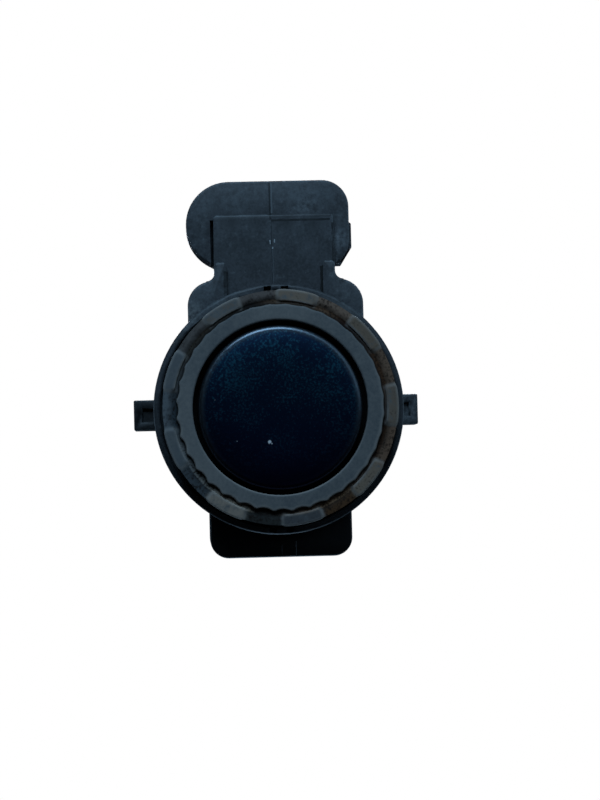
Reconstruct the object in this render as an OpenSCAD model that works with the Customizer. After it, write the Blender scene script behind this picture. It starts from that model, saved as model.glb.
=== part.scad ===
// Parking sensor: membrane cup in a fluted silicone ring, lugged barrel, flat body, keyed connector.
// Millimetres. The sensor axis is Y: the membrane faces -Y, the connector is up along +Z.
// The origin is on the sensor axis, in the plane of the barrel's rim.

/* [Membrane cup] */
// Diameter of the cup and its membrane
membrane_d = 15.5; // [14.8:0.1:16.4]
// Distance from the barrel's rim to the front of the membrane
nose_out = 4.6; // [4.2:0.1:5]
// Length of the cup
cup_len = 7.5; // [7.2:0.1:8]
// Thickness of the membrane
membrane_t = 0.75; // [0.5:0.05:1]
// Wall of the cup above and below its cavity
cup_wall = 1.25; // [1:0.05:1.5]
// Wall of the cup at the two flats of its cavity
cup_flat_wall = 3; // [2.7:0.05:3.2]
// Radius of the membrane's front edge
cup_edge_r = 0.5; // [0.2:0.05:0.6]
// Height of the membrane's crown over its edge
camber = 0.25; // [0.1:0.05:0.35]
// Step of the collar at the back of the cup
collar_out = 1; // [0.8:0.05:1.1]
// Length of the collar
collar_t = 1.2; // [0.9:0.1:1.4]

/* [Piezo and contacts] */
// Diameter of the piezo disc
piezo_d = 7.5; // [6.8:0.1:8.2]
// Thickness of the piezo disc
piezo_t = 0.5; // [0.3:0.05:0.8]
// Distance of the damping plug's back from the cup's open end
plug_recess = 0.7; // [0.6:0.1:1.2]
// Thickness of the contact carrier
carrier_t = 1.5; // [1.3:0.1:1.8]
// Width of the square contact pins
pin_w = 0.64; // [0.5:0.02:0.8]
// Spacing of the two contact pins
pin_pitch = 4.4; // [4:0.1:5]
// Distance that the contact pins stand into the cup
pin_in = 0.5; // [0.3:0.05:0.55]
// Diameter of the fine leads
lead_d = 0.4; // [0.3:0.02:0.46]

/* [Decoupling ring] */
// Open gap between the membrane and the sleeve
sleeve_gap = 0.48; // [0.36:0.02:0.6]
// Depth of that gap
sleeve_gap_depth = 2.2; // [1.6:0.1:2.6]
// Thickness of the sleeve
sleeve_t = 1.5; // [1.36:0.02:1.7]
// Distance of the sleeve's front from the membrane's front
sleeve_back = 0.4; // [0.2:0.05:0.6]
// Number of flutes around the sleeve
flute_count = 36; // [30:1:38]
// Depth of the flutes
flute_depth = 0.22; // [0.14:0.02:0.26]
// Radius of the flutes
flute_r = 1.5; // [1.4:0.05:1.7]
// Width of the groove between the sleeve and the pads
groove_w = 0.3; // [0.24:0.02:0.4]
// Depth of the groove from the front of the pads
groove_depth = 0.7; // [0.6:0.05:0.9]
// Number of pads
pad_count = 9; // [7:1:11]
// Angle that one pad covers
pad_arc = 21; // [17:0.5:24]
// Width of the pads outward from the axis
pad_w = 1.18; // [1:0.02:1.3]
// Distance of the pads' front from the sleeve's front
pad_back = 0.4; // [0.3:0.05:0.6]
// Rise of the pads over the outer edge of the flange
pad_rise = 0.3; // [0.2:0.05:0.4]
// Distance that the pads stand out past the flange
pad_proud = 0.14; // [0.08:0.02:0.2]
// Silicone wall around the collar
ring_wall = 1.15; // [1:0.05:1.25]

/* [Barrel] */
// Gap between the pads and the rim
rim_gap = 0.18; // [0.12:0.02:0.26]
// Wall of the rim
rim_wall = 0.61; // [0.55:0.02:0.8]
// Radius of the rim's outer edge
rim_edge_r = 0.25; // [0.15:0.05:0.35]
// Length of the rim's locating collar
rim_len = 2; // [1.8:0.1:2.4]
// Step from the collar down to the barrel behind it
rim_step = 0.3; // [0.2:0.02:0.4]
// Depth of the flange's seat behind the rim
seat_depth = 1.5; // [1.2:0.1:1.7]
// Length of the barrel
barrel_len = 12; // [11.8:0.1:12.6]
// Width of the slots in the rim
notch_w = 0.7; // [0.5:0.05:0.9]
// Width of the tab between two slots
notch_tab = 0.95; // [0.7:0.05:1.2]
// Depth of the slots
notch_depth = 1.4; // [1:0.05:1.45]
// Thin wall outside those slots
notch_wall = 0.2; // [0.15:0.05:0.3]
// Gap between the ring and the barrel's bore
ring_fit = 0.05; // [0.02:0.01:0.1]

/* [Lugs] */
// Height of a lug
lug_h = 3; // [2.7:0.05:3.3]
// Distance that a lug stands out from the barrel
lug_out = 2.1; // [1.8:0.05:2.4]
// Distance of a lug's front behind the rim
lug_front = 8.4; // [8:0.1:8.6]
// Length of a lug along the axis
lug_len = 3; // [2.6:0.1:3.2]
// Wall around the pocket in a lug's front
lug_wall = 0.9; // [0.8:0.05:1.1]
// Depth of that pocket
lug_pocket_depth = 0.4; // [0.3:0.05:0.6]

/* [Body] */
// Height of the body's top over the axis
body_top = 12.6; // [12.3:0.1:13.1]
// Distance of the body's bottom under the axis
body_bottom = 14.2; // [13.8:0.1:14.8]
// Width of the body at its top
body_w = 17; // [16.4:0.1:17.6]
// Width of the body at its foot
foot_w = 13.7; // [13.2:0.1:14.3]
// Distance of the body's front behind the rim
body_back = 2; // [1.8:0.1:2.4]
// Wall of the body
body_wall = 1.4; // [1.2:0.05:1.6]
// Corner radius at the shoulders
shoulder_r = 2.4; // [2:0.1:2.8]
// Corner radius at the foot
foot_r = 1.8; // [1.5:0.1:2.2]
// Wall around the pockets behind the barrel
pocket_wall = 1.3; // [1.1:0.05:1.5]
// Thickness of the rear cover
cover_t = 1.2; // [1:0.05:1.5]
// Step between the rear cover and the body's side
cover_step = 0.15; // [0.1:0.05:0.3]

/* [Neck] */
// Width of the neck
neck_w = 11.7; // [11.2:0.1:12.2]
// Height of the neck's top over the axis
neck_top = 19.05; // [18.6:0.05:19.5]
// Distance of the neck's face behind the body's front
neck_back = 0.7; // [0.5:0.05:0.9]
// Width of the ribs at the sides of the neck
rib_w = 1.2; // [1:0.05:1.4]
// Height of the ribs' tops over the axis
rib_top = 14.4; // [14:0.1:15]
// Radius of the fillet between the neck and the shoulders
neck_fillet_r = 0.8; // [0.5:0.05:1]
// Width of the slot along the neck, at the shroud's round end
slot_w = 0.3; // [0.2:0.02:0.4]
// Depth of that slot
slot_depth = 0.8; // [0.5:0.1:1.2]

/* [Connector] */
// Distance of the shroud's round end from the axis
shroud_left = 8.5; // [8.3:0.05:8.8]
// Distance of the shroud's square end from the axis
shroud_right = 7.4; // [7.2:0.05:7.7]
// Height of the shroud's front
shroud_h = 8.4; // [8.1:0.1:8.7]
// Height of the shroud's middle over the axis
shroud_y = 18.2; // [18:0.1:18.6]
// Distance of the shroud's front behind the body's front
shroud_back = 1.4; // [1.2:0.1:1.8]
// Length of the shroud
shroud_len = 17.6; // [17:0.1:18.4]
// Length of the shroud's thick front
shroud_front_len = 4; // [3.8:0.1:4.6]
// Step from the thick front in to the tube behind it
tube_step = 1.2; // [1:0.05:1.3]
// Wall of the tube
shroud_wall = 0.8; // [0.7:0.05:0.9]
// Thickness of the shroud's closed end
shroud_base = 3.8; // [3.6:0.1:4.2]
// Upper corner radius at the shroud's square end
shroud_upper_r = 2.6; // [2.4:0.1:3]
// Lower corner radius at the shroud's square end
shroud_lower_r = 2.5; // [2.3:0.1:3]
// Distance that the key rib stands out from the shroud
key_out = 0.2; // [0.14:0.02:0.3]
// Width of the key rib
key_w = 2.6; // [2.2:0.1:3]
// Distance of the key rib's front behind the shroud's front
key_back = 0.3; // [0.2:0.05:0.6]
// Height of the latch nose under the shroud
latch_h = 1; // [0.7:0.05:1.2]
// Width of the latch nose
latch_w = 3.4; // [2.8:0.1:4.2]
// Length of the latch nose
latch_len = 2.2; // [1.8:0.1:2.5]
// Spacing of the terminals
blade_pitch = 4; // [3.7:0.1:4.3]
// Width of a terminal's blade
blade_w = 1.5; // [1.2:0.05:1.8]
// Thickness of the terminals
blade_t = 0.64; // [0.5:0.02:0.8]
// Distance that the blades stand into the shroud
blade_out = 8; // [7:0.1:8.6]
// Height of the terminals' tails over the axis
tail_y = 9.6; // [9.4:0.05:9.9]
// Width of a terminal's tail
tail_w = 0.8; // [0.6:0.05:1]

/* [Circuit board] */
// Thickness of the board
board_t = 1; // [0.8:0.1:1.6]
// Gap around the board
board_gap = 0.1; // [0.05:0.01:0.15]
// Width of the ledge that the board sits on
ledge_w = 0.6; // [0.4:0.05:0.8]
// Room in front of the board
front_room = 3; // [2.6:0.1:3.4]
// Room behind the board
rear_room = 5.4; // [5:0.1:6]
// Diameter of the throat between the transducer and the board
throat_d = 12.4; // [11.4:0.1:12.8]
// Thickness of the wall between the transducer and the board
floor_t = 2.4; // [2.2:0.1:2.8]
// Gap around the pins and tails in their holes
hole_gap = 0.12; // [0.05:0.01:0.2]
// Distance that the pins and tails stand out behind the board
tail_out = 0.9; // [0.6:0.1:1.2]
// Width of the transformer's base
coil_w = 6.4; // [5.8:0.1:6.8]
// Height of the transformer's base
coil_base_t = 0.9; // [0.7:0.05:1.1]
// Height of the transformer's core
coil_h = 3.4; // [3:0.1:3.8]
// Width of the driver chip
chip_w = 5; // [4:0.1:5.2]
// Thickness of the driver chip
chip_t = 0.85; // [0.7:0.05:1.2]
// Length of the bulk capacitor
bulk_len = 3.2; // [2.5:0.1:4]
// Height of the bulk capacitor
bulk_h = 2; // [1.5:0.1:2.4]

/* [Hidden] */
$fn = 96;
// Overshoot of a cut past the face that it opens
over = 1;
// Smallest inner corner radius
core_r = 0.4;
// Radii around the axis, from the membrane outward
cup_r = membrane_d / 2;
collar_r = cup_r + collar_out;
sleeve_in_r = cup_r + sleeve_gap;
sleeve_out_r = sleeve_in_r + sleeve_t;
pad_in_r = sleeve_out_r + groove_w;
pad_out_r = pad_in_r + pad_w;
flange_r = pad_out_r - pad_proud;
seat_r = pad_out_r + rim_gap;
barrel_r = seat_r + rim_wall;
rear_r = barrel_r - rim_step;
ring_back_r = collar_r + ring_wall;
bore_r = ring_back_r + ring_fit;
throat_r = throat_d / 2;
// Depths along the axis, front positive, rim at zero
cup_back_z = nose_out - cup_len;
collar_front_z = cup_back_z + collar_t;
membrane_back_z = nose_out - membrane_t;
piezo_back_z = membrane_back_z - piezo_t;
plug_back_z = cup_back_z + plug_recess;
sleeve_z = nose_out - sleeve_back;
gap_floor_z = sleeve_z - sleeve_gap_depth;
pad_z = sleeve_z - pad_back;
groove_z = pad_z - groove_depth;
ramp_z = pad_z - pad_rise;
floor_z = cup_back_z - carrier_t;
chamber_z = floor_z - floor_t;
board_z = chamber_z - front_room;
board_back_z = board_z - board_t;
cover_z = board_back_z - rear_room;
front_z = -body_back;
neck_z = front_z - neck_back;
shroud_z = front_z - shroud_back;
socket_z = shroud_z - shroud_base;
mouth_z = shroud_z - shroud_len;
riser_z = (socket_z + shroud_z) / 2;
// Rounding of the ring's small edges
sleeve_edge_r = 0.28;
lip_edge_r = 0.18;
pad_edge_r = 0.15;
// Height at which the body narrows, hidden by the barrel, and the lap of its two outlines
waist_y = -6;
waist_lap = 9;
waist_r = 1.2;
// Fit of the plug and the carrier
soft_fit = 0.05;
// Channel around the leads in the damping plug
lead_gap = 0.12;
ground_z = 1;
// Bend radius of the terminals, taper of their tips
bend_r = 0.4;
tip_len = 1;
tip_end = 0.5;
// Locating rib of the rear cover
cover_rib_h = 0.8;
cover_rib_w = 0.8;
// Transformer core: flange thickness, gap to the base's edge, post and winding radii
coil_flange_t = 0.6;
coil_margin = 0.4;
post_r = 1.1;
winding_gap = 0.3;
// Places on the board, from the sensor axis
coil_y = -6.4;
chip_y = 4.2;
bulk_y = -8;
diode_y = 6.4;
cap_spots = [[-4.8, 1.6], [-4.8, 3.6], [-4.8, 5.6], [4.8, 1.6], [4.8, 3.6], [4.8, 5.6]];
res_spots = [[-4.6, 5.8], [-4.6, 4], [-4.6, -3], [4.6, 5.8], [4.6, 4], [4.6, -3]];
// Standard cases: length, width, height
bulk_size = [bulk_len, 2.5, bulk_h];
cap_size = [1.6, 0.8, 0.8];
res_size = [1, 0.5, 0.35];
diode_size = [2.7, 1.6, 1.1];
// Lip of the end caps on the small chips
cap_lip = 0.04;
cap_end = 0.3;
// Sides of the key rib and the latch nose, from the shroud's middle
key_drop = 1.3;
latch_inset = 0.6;
latch_land = 0.5;

// Shared outlines

// Both ends of the straight run that touches two corner circles [x, y, radius]
function tangent(a, b) =
    let (d = [b[0] - a[0], b[1] - a[1]], u = d / norm(d), k = (a[2] - b[2]) / norm(d),
         m = [u[1], -u[0]] * sqrt(1 - k * k) + u * k)
    [[a[0] + a[2] * m[0], a[1] + a[2] * m[1]], [b[0] + b[2] * m[0], b[1] + b[2] * m[1]]];

// The same corners with the outline moved inward
function inset(corners, d) = [for (c = corners) [c[0], c[1], c[2] - d]];

// Corners of an upright box, with one radius below and one above
function box_corners(x0, y0, x1, y1, r0, r1) =
    [[x0 + r0, y0 + r0, r0], [x1 - r0, y0 + r0, r0], [x1 - r1, y1 - r1, r1], [x0 + r1, y1 - r1, r1]];

// Outline around corner circles, given anticlockwise
module outline(corners) {
    n = len(corners);
    polygon([for (i = [0 : n - 1]) each tangent(corners[i], corners[(i + 1) % n])]);
    for (c = corners)
        if (c[2] > 0)
            translate([c[0], c[1]])
                circle(c[2]);
}

// Extrusion of a front-view outline between two depths
module slab(z0, z1) {
    translate([0, 0, z0])
        linear_extrude(z1 - z0)
            children();
}

// Extrusion across the part of a side-view outline drawn as [depth, height]
module side_slab(w) {
    rotate([0, -90, 0])
        translate([0, 0, -w / 2])
            linear_extrude(w)
                children();
}

// Block centred on the axis plane, between two heights and two depths
module block(w, y0, y1, z0, z1) {
    translate([-w / 2, y0, z0])
        cube([w, y1 - y0, z1 - z0]);
}

// From the front-view drawing (front is +Z) to the part's frame (front is -Y)
module placed() {
    rotate([90, 0, 0])
        children();
}

// Front view of the body, moved inward by d
module body_outline(d) {
    outline(box_corners(-body_w / 2 + d, waist_y + d, body_w / 2 - d, body_top - d,
        max(waist_r - d, core_r), max(shoulder_r - d, core_r)));
    outline(box_corners(-foot_w / 2 + d, -body_bottom + d, foot_w / 2 - d, waist_y + waist_lap - d,
        max(foot_r - d, core_r), core_r));
}

// Corners of the shroud: a round end at the left, a squarer one at the right
function shroud_corners() =
    [[-shroud_left + shroud_h / 2, shroud_y, shroud_h / 2],
     [shroud_right - shroud_lower_r, shroud_y - shroud_h / 2 + shroud_lower_r, shroud_lower_r],
     [shroud_right - shroud_upper_r, shroud_y + shroud_h / 2 - shroud_upper_r, shroud_upper_r]];

// Cavity of the cup: a circle with two flats
module cavity_outline(d) {
    intersection() {
        circle(cup_r - cup_wall - d);
        square([2 * (cup_r - cup_flat_wall - d), membrane_d], center = true);
    }
}

// Housing

// Locating collar at the rim, and the barrel behind it
module barrel() {
    rotate_extrude() {
        outline([[0, -rim_len, 0], [barrel_r, -rim_len, 0],
            [barrel_r - rim_edge_r, -rim_edge_r, rim_edge_r], [0, 0, 0]]);
        outline([[0, -barrel_len, 0], [rear_r - core_r, -barrel_len + core_r, core_r],
            [rear_r, -rim_len / 2, 0], [0, -rim_len / 2, 0]]);
    }
}

// Body with the channel that runs up between the two ribs
module body() {
    difference() {
        union() {
            slab(cover_z, front_z)
                body_outline(0);
            for (side = [-1, 1])
                translate([side * (neck_w - rib_w) / 2, 0])
                    slab(riser_z, front_z)
                        outline(box_corners(-rib_w / 2, 0, rib_w / 2, rib_top, core_r, core_r));
            shoulder_fillets();
        }
        block(neck_w - 2 * rib_w, 0, rib_top + over, neck_z, over);
    }
}

// Hollow fillets where the shoulders run into the neck
module shoulder_fillets() {
    for (side = [-1, 1])
        slab(riser_z, front_z)
            difference() {
                translate([side * (neck_w + neck_fillet_r) / 2, body_top])
                    square([neck_fillet_r, 2 * neck_fillet_r], center = true);
                translate([side * (neck_w / 2 + neck_fillet_r), body_top + neck_fillet_r])
                    circle(neck_fillet_r);
            }
}

module neck() {
    slab(socket_z, neck_z)
        outline(box_corners(-neck_w / 2, 0, neck_w / 2, neck_top, core_r, core_r));
}

// Slot in the shroud's front, along the side of the neck
module neck_slot() {
    bottom = shroud_y - shroud_h / 2;
    translate([-neck_w / 2 - slot_w, bottom, shroud_z - slot_depth])
        cube([slot_w, neck_top - core_r - bottom, 2 * slot_depth]);
}

// Thick front, the tube that steps in behind it, the key rib and the latch nose
module shroud() {
    slab(shroud_z - shroud_front_len, shroud_z)
        outline(shroud_corners());
    slab(mouth_z, shroud_z - shroud_base / 2)
        outline(inset(shroud_corners(), tube_step));
    slab(mouth_z, shroud_z - key_back)
        outline(box_corners(0, shroud_y - key_drop - key_w / 2, shroud_right + key_out,
            shroud_y - key_drop + key_w / 2, key_out, key_out));
    latch();
}

// Latch nose under the shroud, with a ramp toward the mouth
module latch() {
    y = shroud_y - shroud_h / 2 + tube_step;
    z = mouth_z + latch_inset;
    side_slab(latch_w)
        polygon([[z, y + shroud_wall / 2], [z, y], [z + latch_len - latch_land, y - latch_h],
            [z + latch_len, y - latch_h], [z + latch_len, y + shroud_wall / 2]]);
}

module lugs() {
    difference() {
        block(2 * (barrel_r + lug_out), -lug_h / 2, lug_h / 2, -lug_front - lug_len, -lug_front);
        for (side = [-1, 1])
            translate([side * (rear_r + lug_pocket_w() / 2), 0, -lug_front])
                cube([lug_pocket_w(), lug_h - 2 * lug_wall, 2 * lug_pocket_depth], center = true);
    }
}

// Width of the pocket in a lug, from the barrel outward
function lug_pocket_w() = barrel_r + lug_out - lug_wall - rear_r;

// Bore for the transducer: seat of the flange, bore of the ring, throat to the board's chamber
module transducer_bore() {
    slab(-seat_depth, over)
        circle(seat_r);
    slab(floor_z, over)
        circle(bore_r);
    slab(chamber_z - over, over)
        circle(throat_r);
}

// Pairs of slots in the rim, above and below, with a tab between them
module rim_notches() {
    for (turn = [0, 180])
        for (side = [-1, 1])
            rotate(turn)
                translate([side * (notch_tab + notch_w) / 2, barrel_r - notch_wall - rim_wall, 0])
                    cube([notch_w, 2 * rim_wall, 2 * notch_depth], center = true);
}

module chamber() {
    slab(board_z - over, chamber_z)
        body_outline(body_wall + ledge_w);
    slab(cover_z - over, board_z)
        body_outline(body_wall);
}

// Pockets behind the barrel, each split by a rib in line with the lug
module barrel_pockets() {
    slab(-barrel_len - over, floor_z - pocket_wall)
        difference() {
            circle(rear_r - pocket_wall);
            square([body_w, 2 * barrel_r], center = true);
            square([2 * barrel_r, lug_h], center = true);
        }
}

module housing() {
    color([0.13, 0.17, 0.21])
        placed()
            difference() {
                union() {
                    barrel();
                    body();
                    neck();
                    shroud();
                    lugs();
                }
                transducer_bore();
                rim_notches();
                barrel_pockets();
                chamber();
                slab(mouth_z - over, socket_z)
                    outline(inset(shroud_corners(), tube_step + shroud_wall));
                neck_slot();
                for (place = [-1, 0, 1])
                    terminal(place);
            }
}

module rear_cover() {
    color([0.1, 0.12, 0.14])
        placed() {
            slab(cover_z - cover_t, cover_z)
                body_outline(cover_step);
            slab(cover_z, cover_z + cover_rib_h)
                difference() {
                    body_outline(body_wall + board_gap);
                    body_outline(body_wall + board_gap + cover_rib_w);
                }
        }
}

// Decoupling ring

// Sleeve with its flutes, cut before it joins the flange
module sleeve() {
    difference() {
        rotate_extrude()
            outline([[sleeve_in_r, groove_z - core_r, 0], [sleeve_out_r, groove_z - core_r, 0],
                [sleeve_out_r - sleeve_edge_r, sleeve_z - sleeve_edge_r, sleeve_edge_r],
                [sleeve_in_r + lip_edge_r, sleeve_z - lip_edge_r, lip_edge_r]]);
        for (i = [0 : flute_count - 1])
            rotate(i * 360 / flute_count)
                translate([sleeve_out_r - flute_depth + flute_r, 0, groove_z])
                    cylinder(r = flute_r, h = sleeve_z);
    }
}

// Flange, lip on the cup and pocket around the collar
module ring_base() {
    rotate_extrude()
        polygon([[cup_r, collar_front_z], [collar_r, collar_front_z], [collar_r, floor_z],
            [ring_back_r, floor_z], [ring_back_r, -seat_depth], [flange_r, -seat_depth],
            [flange_r, ramp_z], [pad_in_r, groove_z], [sleeve_in_r, groove_z],
            [sleeve_in_r, gap_floor_z], [cup_r, gap_floor_z]]);
}

module pads() {
    for (i = [0 : pad_count - 1])
        rotate(i * 360 / pad_count - pad_arc / 2)
            rotate_extrude(angle = pad_arc)
                outline([[pad_in_r, groove_z - core_r, 0], [pad_out_r, groove_z - core_r, 0],
                    [pad_out_r - pad_edge_r, pad_z - pad_edge_r, pad_edge_r],
                    [pad_in_r + pad_edge_r, pad_z - pad_edge_r, pad_edge_r]]);
}

module decoupling_ring() {
    color([0.27, 0.33, 0.37])
        placed() {
            ring_base();
            sleeve();
            pads();
        }
}

// Transducer

// Slightly crowned front of the membrane, seen in section
module crown() {
    r = cup_r - cup_edge_r;
    crown_r = (r * r + camber * camber) / (2 * camber);
    intersection() {
        translate([0, nose_out - crown_r])
            circle(crown_r, $fn = 480);
        translate([0, nose_out - 2 * camber])
            square([r, 2 * camber]);
    }
}

module membrane_cup() {
    edge_z = nose_out - camber;
    color([0.02, 0.05, 0.09])
        placed()
            difference() {
                rotate_extrude() {
                    outline([[0, cup_back_z, 0], [cup_r, cup_back_z, 0],
                        [cup_r - cup_edge_r, edge_z - cup_edge_r, cup_edge_r], [0, edge_z, 0]]);
                    crown();
                    translate([0, cup_back_z])
                        square([collar_r, collar_t]);
                }
                slab(cup_back_z - over, membrane_back_z)
                    cavity_outline(0);
            }
}

module piezo_disc() {
    color([0.75, 0.72, 0.6])
        placed()
            slab(piezo_back_z, membrane_back_z)
                circle(d = piezo_d);
}

// Damping plug with a channel for each lead
module damping_plug() {
    color([0.6, 0.58, 0.55])
        placed()
            difference() {
                slab(plug_back_z, piezo_back_z)
                    cavity_outline(soft_fit);
                translate([pin_pitch / 2, 0, plug_back_z - over])
                    cylinder(d = lead_d + 2 * lead_gap, h = piezo_back_z - plug_back_z + 2 * over);
                translate([-cup_r, -lead_d / 2 - lead_gap, plug_back_z - over])
                    cube([cup_r - pin_pitch / 2 + lead_d / 2 + lead_gap, lead_d + 2 * lead_gap,
                        ground_z + lead_d / 2 + lead_gap - plug_back_z + over]);
            }
}

module contact_carrier() {
    color([0.16, 0.16, 0.17])
        placed()
            difference() {
                slab(floor_z, cup_back_z)
                    circle(collar_r - soft_fit);
                for (side = [-1, 1])
                    carrier_pin(side);
            }
}

// Square pin from the cup's open end through the board
module carrier_pin(side) {
    translate([side * pin_pitch / 2, 0, 0])
        block(pin_w, -pin_w / 2, pin_w / 2, board_back_z - tail_out, cup_back_z + pin_in);
}

module carrier_pin_left() {
    color([0.75, 0.72, 0.68])
        placed()
            carrier_pin(-1);
}

module carrier_pin_right() {
    color([0.75, 0.72, 0.68])
        placed()
            carrier_pin(1);
}

module piezo_lead() {
    color([0.72, 0.45, 0.3])
        placed()
            translate([pin_pitch / 2, 0, cup_back_z + pin_in])
                cylinder(d = lead_d, h = piezo_back_z - cup_back_z - pin_in);
}

// Lead that turns aside to the flat of the cup's cavity
module ground_lead() {
    color([0.72, 0.45, 0.3])
        placed() {
            translate([-pin_pitch / 2, 0, cup_back_z + pin_in])
                cylinder(d = lead_d, h = ground_z - cup_back_z - pin_in);
            translate([-pin_pitch / 2, 0, ground_z])
                sphere(d = lead_d);
            translate([-pin_pitch / 2, 0, ground_z])
                rotate([0, -90, 0])
                    cylinder(d = lead_d, h = cup_r - cup_flat_wall - pin_pitch / 2);
        }
}

// Circuit board

module circuit_board() {
    color([0.1, 0.3, 0.16])
        placed()
            slab(board_back_z, board_z)
                difference() {
                    body_outline(body_wall + board_gap);
                    for (side = [-1, 1])
                        translate([side * pin_pitch / 2, 0])
                            circle(d = norm([pin_w, pin_w]) + 2 * hole_gap);
                    for (place = [-1, 0, 1])
                        translate([place * blade_pitch, tail_y])
                            circle(d = norm([tail_w, blade_t]) + 2 * hole_gap);
                }
}

module transformer_base() {
    color([0.12, 0.12, 0.13])
        placed()
            slab(board_back_z - coil_base_t, board_back_z)
                translate([0, coil_y])
                    outline(box_corners(-coil_w / 2, -coil_w / 2, coil_w / 2, coil_w / 2, core_r, core_r));
}

// Drum core: a post between two flanges
module transformer_core() {
    r = coil_w / 2 - coil_margin;
    color([0.2, 0.2, 0.21])
        placed()
            translate([0, coil_y, board_back_z - coil_base_t - coil_h])
                rotate_extrude() {
                    square([r, coil_flange_t]);
                    square([post_r, coil_h]);
                    translate([0, coil_h - coil_flange_t])
                        square([r, coil_flange_t]);
                }
}

module transformer_winding() {
    r = coil_w / 2 - coil_margin - winding_gap;
    color([0.7, 0.38, 0.2])
        placed()
            translate([0, coil_y, board_back_z - coil_base_t - coil_h + coil_flange_t])
                rotate_extrude()
                    translate([post_r, 0])
                        square([r - post_r, coil_h - 2 * coil_flange_t]);
}

module driver_chip() {
    color([0.08, 0.08, 0.09])
        placed()
            translate([0, chip_y])
                block(chip_w, -chip_w / 2, chip_w / 2, board_back_z - chip_t, board_back_z);
}

// Small part with raised end caps, standing on a board face at z and rising by up
module chip_part(size, z, up) {
    for (side = [-1, 1])
        translate([side * (size[0] - cap_end) / 2, 0, z + up * size[2] / 2])
            cube([cap_end, size[1], size[2]], center = true);
    translate([0, 0, z + up * (size[2] - cap_lip) / 2])
        cube([size[0] - cap_end, size[1] - 2 * cap_lip, size[2] - cap_lip], center = true);
}

module bulk_capacitor() {
    color([0.55, 0.42, 0.28])
        placed()
            translate([0, bulk_y])
                chip_part(bulk_size, board_z, 1);
}

module chip_capacitors() {
    color([0.58, 0.45, 0.3])
        placed()
            for (spot = cap_spots)
                translate(spot)
                    chip_part(cap_size, board_back_z, -1);
}

module chip_resistors() {
    color([0.1, 0.1, 0.11])
        placed()
            for (spot = res_spots)
                translate(spot)
                    chip_part(res_size, board_z, 1);
}

module protection_diode() {
    color([0.09, 0.09, 0.1])
        placed()
            translate([0, diode_y])
                chip_part(diode_size, board_z, 1);
}

// Terminals

// Side view of a terminal's riser, round at its two bends, as [depth, height]
module riser_outline() {
    z0 = riser_z - blade_t / 2;
    z1 = riser_z + blade_t / 2;
    y0 = tail_y - blade_t / 2;
    y1 = shroud_y + blade_t / 2;
    outline([[z0, y0, 0], [z1 - bend_r, y0 + bend_r, bend_r], [z1 - bend_r, y1 - bend_r, bend_r],
        [z0, y1, 0]]);
}

// One terminal, at its place from left (-1) to right (1)
module terminal(place) {
    tip_z = socket_z - blade_out;
    translate([place * blade_pitch, 0, 0]) {
        side_slab(blade_w)
            riser_outline();
        translate([0, shroud_y - blade_t / 2, 0])
            rotate([-90, 0, 0])
                linear_extrude(blade_t)
                    polygon([[-blade_w / 2, -riser_z], [blade_w / 2, -riser_z],
                        [blade_w / 2, -tip_z - tip_len], [tip_end / 2, -tip_z], [-tip_end / 2, -tip_z],
                        [-blade_w / 2, -tip_z - tip_len]]);
        block(tail_w, tail_y - blade_t / 2, tail_y + blade_t / 2, board_back_z - tail_out, riser_z);
    }
}

module terminal_supply() {
    color([0.74, 0.72, 0.68])
        placed()
            terminal(-1);
}

module terminal_signal() {
    color([0.74, 0.72, 0.68])
        placed()
            terminal(0);
}

module terminal_ground() {
    color([0.74, 0.72, 0.68])
        placed()
            terminal(1);
}

housing();
rear_cover();
decoupling_ring();
membrane_cup();
piezo_disc();
damping_plug();
contact_carrier();
carrier_pin_left();
carrier_pin_right();
piezo_lead();
ground_lead();
circuit_board();
transformer_base();
transformer_core();
transformer_winding();
driver_chip();
bulk_capacitor();
chip_capacitors();
chip_resistors();
protection_diode();
terminal_supply();
terminal_signal();
terminal_ground();
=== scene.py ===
"""Looks of the parking sensor: worn black plastic, dusty grey silicone and dark blue paint.

Sizes are in millimetres and turned to metres by MM. Depths are along Y, front negative, and a clock
angle is in degrees clockwise from the top, as seen from the front.
"""

import math

import bmesh
import bpy
from mathutils import Matrix, Vector, noise


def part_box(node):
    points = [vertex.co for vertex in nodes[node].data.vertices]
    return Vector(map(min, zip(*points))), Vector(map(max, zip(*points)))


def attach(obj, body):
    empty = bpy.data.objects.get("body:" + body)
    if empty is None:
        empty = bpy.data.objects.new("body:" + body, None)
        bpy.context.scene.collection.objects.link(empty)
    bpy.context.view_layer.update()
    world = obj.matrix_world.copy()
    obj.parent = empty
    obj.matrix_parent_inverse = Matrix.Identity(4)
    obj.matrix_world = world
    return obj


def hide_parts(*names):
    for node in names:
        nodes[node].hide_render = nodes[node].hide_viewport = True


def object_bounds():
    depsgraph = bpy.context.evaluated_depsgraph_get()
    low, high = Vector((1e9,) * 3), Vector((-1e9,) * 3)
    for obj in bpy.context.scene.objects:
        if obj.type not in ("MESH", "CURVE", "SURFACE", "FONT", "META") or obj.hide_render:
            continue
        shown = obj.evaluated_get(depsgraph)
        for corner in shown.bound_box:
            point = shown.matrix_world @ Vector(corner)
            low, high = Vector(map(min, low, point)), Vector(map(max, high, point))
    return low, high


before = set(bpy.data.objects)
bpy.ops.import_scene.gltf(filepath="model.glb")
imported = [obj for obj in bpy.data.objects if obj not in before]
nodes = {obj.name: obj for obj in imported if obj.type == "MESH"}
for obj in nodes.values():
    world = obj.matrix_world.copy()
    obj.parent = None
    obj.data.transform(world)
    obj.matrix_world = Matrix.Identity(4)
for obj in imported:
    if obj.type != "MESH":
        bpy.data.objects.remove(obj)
cad_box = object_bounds()

MM = 0.001

# Slack in choosing what lies in one plane, and what lies inside a radius or a depth
NEAR = 0.02
SLACK = 0.01
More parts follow.
